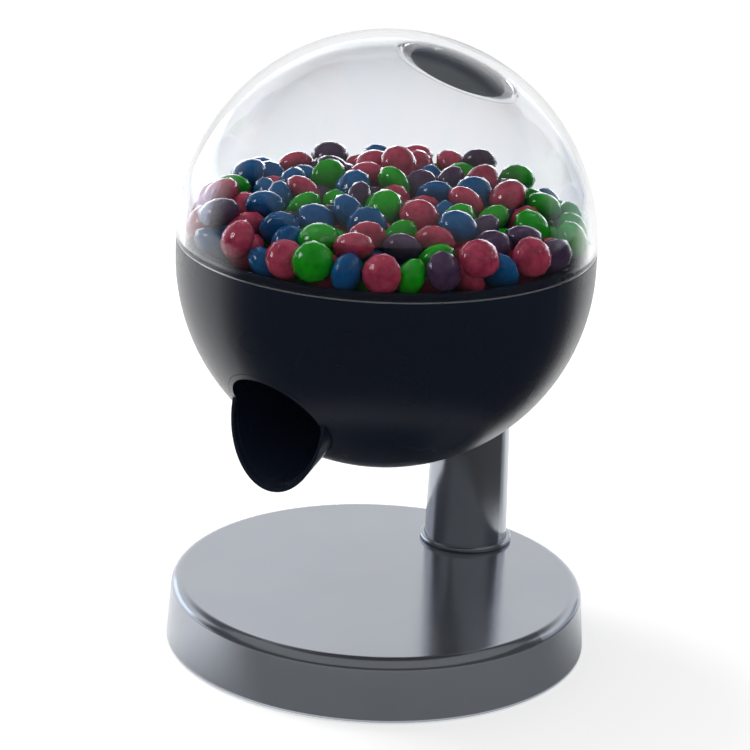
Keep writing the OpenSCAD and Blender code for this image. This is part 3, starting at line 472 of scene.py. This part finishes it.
def settleCandies():
    # each candy is a middle ball and a ring of balls under its edge, pushed apart while it grows and sinks
    chance = random.Random(candy["seed"])
    places = startPlaces(chance)
    count = len(places)
    axes = np.array([[chance.gauss(0, 1), chance.gauss(0, 1), chance.gauss(0, settling["upright"])]
                     for _ in range(count)])
    axes /= np.linalg.norm(axes, axis=1)[:, None]
    side = np.cross(axes, [[chance.gauss(0, 1) for _ in range(3)] for _ in range(count)])
    side /= np.linalg.norm(side, axis=1)[:, None]
    turns = (np.arange(settling["ring"]) * math.tau / settling["ring"])[:, None, None]
    full = np.array([candy["half"]] + [candy["edge"]] * settling["ring"])
    spin = settling["spin"]
    for step in range(settling["steps"]):
        whole = settling["steps"] * settling["gainUntil"]
        grow = min(1, settling["size"] + settling["gain"] * step / whole)
        if step % settling["pairsEvery"] == 0:
            apart = np.linalg.norm(places[:, None] - places[None], axis=-1)
            first, second = np.nonzero(np.triu(apart < settling["pairReach"], 1))
        late = step >= settling["steps"] * settling["lateFrom"]
        places[:, 2] -= settling["lateSink"] if late else settling["sink"]
        third = np.cross(axes, side)
        ring = (candy["r"] - candy["edge"]) * (np.cos(turns) * side + np.sin(turns) * third)
        arms = np.concatenate((np.zeros((count, 1, 3)), ring.transpose(1, 0, 2)), 1) * grow
        balls = places[:, None] + arms
        radii = full * grow
        gap = balls[first][:, :, None] - balls[second][:, None]
        far = np.linalg.norm(gap, axis=-1)
        depth = (radii[:, None] + radii - far).reshape(len(first), -1)
        best = depth.argmax(1)
        rows = np.nonzero(depth[np.arange(len(first)), best] > 0)[0]
        best = best[rows]
        mine, other = best // len(full), best % len(full)
        one, two = first[rows], second[rows]
        way = gap[rows, mine, other] / np.maximum(far[rows, mine, other], settling["tiny"])[:, None]
        deep = depth[rows, best]
        armOne = arms[one, mine] - way * radii[mine][:, None]
        armTwo = arms[two, other] + way * radii[other][:, None]
        crossOne, crossTwo = np.cross(armOne, way), np.cross(armTwo, way)
        share = deep / (2 + ((crossOne ** 2).sum(1) + (crossTwo ** 2).sum(1)) / spin)
        shift = np.zeros((count, 3))
        turn = np.zeros((count, 3))
        for who, sign, arm in ((one, 1, crossOne), (two, -1, crossTwo)):
            for i in range(3):
                shift[:, i] += sign * np.bincount(who, share * way[:, i], count)
                turn[:, i] += sign * np.bincount(who, share * arm[:, i], count) / spin
        wall = wallPush(balls, radii)
        size = np.linalg.norm(wall, axis=-1)
        hit = size.argmax(1)
        row = np.arange(count)
        shift += wall[row, hit]
        turn += np.cross(arms[row, hit], wall[row, hit]) / spin * settling["wallTurn"]
        places += shift * settling["ease"]
        turn *= settling["ease"]
        axes += np.cross(turn, axes)
        side += np.cross(turn, side)
        axes /= np.linalg.norm(axes, axis=1)[:, None]
        side -= (side * axes).sum(1)[:, None] * axes
        side /= np.linalg.norm(side, axis=1)[:, None]
    print("candies settled: deepest overlap", round(float(deep.max()) / mm, 2), "mm, highest centre",
          round(float(places[:, 2].max()) / mm, 1), "mm")
    tilts = [Vector(a).to_track_quat("Z", "Y").to_matrix().to_4x4() for a in axes]
    return [Matrix.Translation((x, y + globe["axisY"], z)) @ tilt for (x, y, z), tilt in zip(places, tilts)]


def makeCandies():
    places = settleCandies()
    chance = random.Random(candy["mixSeed"])
    shape = candyMesh()
    kinds = [kind for kind, (count, dark, light) in sweets.items() for i in range(count)]
    chance.shuffle(kinds)
    for kind, (count, dark, light) in sweets.items():
        bm = bmesh.new()
        for place, its in zip(places, kinds):
            if its == kind:
                one = shape.copy()
                one.transform(place)
                # no candy dips into the turning rotor
                low = min(v.co.z for v in one.vertices)
                one.transform(Matrix.Translation((0, 0, max(0, hopper["floor"] - low))))
                bm.from_mesh(one)
                bpy.data.meshes.remove(one)
        piece = pieceFrom(bm, "candies" + kind.title(), candyFinish(kind + "Candy", dark, light))
        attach(piece, "machine")
        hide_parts("candies_" + kind)


makeCandies()
print("candies made")


# floor, light and surroundings

studio = {
    "ambient": 0.5,
    "floorR": 6,
    "floorSides": 96,
    "floorGrey": 0.8,
    "floorGlow": 0.5,
    "aim": 0.11,  # height that the lamps face
    "key": {"power": 5.5, "size": 0.5, "from": (-0.4, 0.9, 0.0), "far": 1.15},
    "fill": {"power": 2.0, "size": 0.8, "from": (0.8, 0.5, 0.5), "far": 1.3},
    "onceMirrored": 0.5,  # glossy depth past which a ray has been mirrored
    "throughDome": 2.5,  # transmission depth past which it has also been through three clear faces
    "cardSides": 48,
    "roomR": 1.7,
    "roomSteps": 12,
    "roomTone": (0.018, 0.024, 0.034),
    "opening": 75,  # degrees to each side where the dark room is open ahead
    "openingTop": 34,
    "openingSoft": 8,
    "tableTone": (0.035, 0.036, 0.036),
    "tableHeight": 1 * mm,
    "tableEdge": (0.08, 0.46),  # cosines of the bearings between which the table fades out
    "tableTurn": 16,
    # the table as surfaces within 60 to 130 mm of it mirror it, with an edge in metres
    "near": {"tone": (0.2, 0.205, 0.205), "height": 1.5 * mm, "from": 0.06, "to": 0.13,
             "edge": (-0.057, 0.013)},
    "ceiling": {"tone": (0.22, 0.23, 0.22), "height": 0.5, "r": 1.15, "back": 0.86},
    "stripSteps": (3, 16),
    # upright strips: bearings from ahead in degrees, and a share of the room's radius
    "leftStrip": {"start": -66, "stop": -30, "top": 14, "reach": 0.98, "tone": (1.9, 2.1, 2.5)},
    "rightStrip": {"start": 34, "stop": 76, "top": 14, "reach": 0.98, "tone": (0.5, 0.54, 0.62)},
    "backGlow": {"start": -60, "stop": 60, "top": 18, "reach": 0.96, "tone": (5.0, 5.1, 5.3)},
    "softBox": {"glow": 8, "size": 0.2, "sides": 24, "from": (-0.8, 0.45, 0.4), "far": 0.58},
}
ahead = Vector((view["towards"][0], view["towards"][1], 0)).normalized()
aheadTurn = math.atan2(ahead.y, ahead.x)


def makeWorld():
    world = bpy.data.worlds.new("studioWorld")
    world.use_nodes = True
    scene.world = world
    tree = world.node_tree
    tree.nodes.clear()
    out = tree.nodes.new("ShaderNodeOutputWorld")
    wire = Wire(tree)
    strength = seenRays(wire) * (1 - studio["ambient"]) + studio["ambient"]
    white = wire.node("Background", values={"Color": (1, 1, 1, 1), "Strength": strength})
    wire.feed(out.inputs["Surface"], white)


def seenRays(wire):
    # 1 for what the camera sees, straight, mirrored or through something clear
    path = wire.tree.nodes.new("ShaderNodeLightPath")
    straight, bounced, through = [Wire(wire.tree, path.outputs["Is " + kind + " Ray"])
                                  for kind in ("Camera", "Glossy", "Transmission")]
    return wire.work("MINIMUM", straight + bounced + through, 1)


def makeFloor():
    # matt, with a glow where the camera sees it, also mirrored or through something clear
    material, wire, out = startTree("paleFloor")
    grey = studio["floorGrey"]
    matt = wire.node("BsdfDiffuse", values={"Color": (grey, grey, grey, 1)})
    glow = wire.node("Emission", values={"Strength": seenRays(wire) * studio["floorGlow"]})
    wire.feed(out, wire.node("AddShader", values={0: matt, 1: glow}))
    pieceFrom(circle(studio["floorR"], studio["floorSides"]), "floor", material)


def makeCard(bm, name, colour, factor):
    # shines in reflections alone, as far as the factor says
    material, wire, out = startTree(name + "Tone")
    path = wire.tree.nodes.new("ShaderNodeLightPath")
    shine = wire.node("Emission", values={"Color": (*colour, 1), "Strength": 1})
    unseen = wire.node("BsdfTransparent")
    wire.feed(out, wire.node("MixShader", values={0: factor(wire, path), 1: unseen, 2: shine}))
    card = pieceFrom(bm, name, material)
    card.visible_camera = False
    card.visible_diffuse = False
    card.visible_shadow = False


def levelCard(name, r, height, tone, factor, centre=Vector()):
    bm = circle(r, studio["cardSides"])
    bmesh.ops.translate(bm, verts=bm.verts, vec=centre + Vector((0, 0, height)))
    makeCard(bm, name, tone, factor)


def uprightCard(name, factor):
    # a strip of the room's wall, from one bearing to another
    strip = studio[name]
    rows, steps = studio["stripSteps"]
    bm = bmesh.new()
    lathe(bm, arcPoints((0, 0), studio["roomR"] * strip["reach"], 0, strip["top"], rows), steps,
          math.radians(strip["stop"] - strip["start"]), False)
    bmesh.ops.rotate(bm, verts=bm.verts, cent=(0, 0, 0),
                     matrix=Matrix.Rotation(aheadTurn - math.radians(strip["stop"]), 3, "Z"))
    makeCard(bm, name, strip["tone"], factor)


def mirrored(wire, path):
    return Wire(wire.tree, path.outputs["Glossy Depth"]) > studio["onceMirrored"]


def behindDome(wire, path):
    # mirrored by what the dome covers
    through = Wire(wire.tree, path.outputs["Transmission Depth"]) > studio["throughDome"]
    return mirrored(wire, path) * through


def softly(wire, value, whole, none):
    return wire.node("MapRange", {"interpolation_type": "SMOOTHSTEP"},
                     {"Value": value, "From Min": whole, "From Max": none, "To Min": 1.0, "To Max": 0.0})


def aheadOf(wire, unit, turn=0):
    # how far a place lies ahead: in metres, or as the cosine of its bearing where unit is true
    place = wire.node("TexCoord", out="Object")
    if unit:
        place = wire.node("VectorMath", {"operation": "NORMALIZE"}, {0: place})
    way = Matrix.Rotation(math.radians(turn), 3, "Z") @ ahead
    return wire.node("VectorMath", {"operation": "DOT_PRODUCT"}, {0: place, 1: way}, out="Value")


def roomShare(wire, path):
    # dark beside and above the opening
    soft = studio["openingSoft"]
    whole, none = [math.cos(math.radians(studio["opening"] + side * soft)) for side in (1, -1)]
    low, high = [math.sin(math.radians(studio["openingTop"] + side * soft)) for side in (-1, 1)]
    rise = wire.node("SeparateXYZ", values={0: wire.node("TexCoord", out="Object")}, out="Z")
    beside = softly(wire, aheadOf(wire, True), whole, none)
    above = softly(wire, rise, high * studio["roomR"], low * studio["roomR"])
    return mirrored(wire, path) * wire.work("MAXIMUM", beside, above)


def frontShare(wire, path, unit, edge):
    return mirrored(wire, path) * softly(wire, aheadOf(wire, unit, studio["tableTurn"]), *edge)


def nearFade(wire, path):
    near = studio["near"]
    return softly(wire, Wire(wire.tree, path.outputs["Ray Length"]), near["from"], near["to"])


def nearShare(wire, path):
    return frontShare(wire, path, False, studio["near"]["edge"]) * nearFade(wire, path)


def tableShare(wire, path):
    return frontShare(wire, path, True, studio["tableEdge"]) * (1 - nearFade(wire, path))


def makeRoom():
    # a dark room, a table before the machine, a ceiling and pale strips, seen in reflections alone
    bm = bmesh.new()
    lathe(bm, arcPoints((0, 0), studio["roomR"], 0, 90, studio["roomSteps"]), studio["cardSides"])
    makeCard(bm, "room", studio["roomTone"], roomShare)
    levelCard("table", studio["roomR"], studio["tableHeight"], studio["tableTone"], tableShare)
    near = studio["near"]
    levelCard("nearTable", studio["roomR"], near["height"], near["tone"], nearShare)
    top = studio["ceiling"]
    levelCard("ceiling", top["r"], top["height"], top["tone"], mirrored, ahead * -top["back"])
    uprightCard("leftStrip", mirrored)
    uprightCard("rightStrip", mirrored)
    uprightCard("backGlow", behindDome)


def lampPlace(lamp):
    # from is the way to the lamp in the camera's own axes
    way = (camera.rotation_quaternion @ Vector(lamp["from"])).normalized()
    spot = Matrix.Translation(Vector((0, 0, studio["aim"])) + way * lamp["far"])
    return spot @ way.to_track_quat("Z", "Y").to_matrix().to_4x4()


def makeSoftBox():
    # gives the candies their highlights, and isn't mirrored by the dome
    box = studio["softBox"]
    bm = circle(box["size"] / 2, box["sides"])
    bmesh.ops.transform(bm, verts=bm.verts, matrix=lampPlace(box))
    makeCard(bm, "softBox", (box["glow"],) * 3, behindDome)


def makeLamp(name):
    lamp = studio[name]
    light = bpy.data.lights.new(name + "Lamp", "AREA")
    light.shape = "DISK"
    light.size = lamp["size"]
    light.energy = lamp["power"]
    one = bpy.data.objects.new(name + "Lamp", light)
    one.matrix_world = lampPlace(lamp)
    one.visible_glossy = False
    one.visible_transmission = False
    scene.collection.objects.link(one)


makeWorld()
makeFloor()
makeRoom()
makeSoftBox()
makeLamp("key")
makeLamp("fill")
scene.view_settings.view_transform = "Standard"
print("studio made")
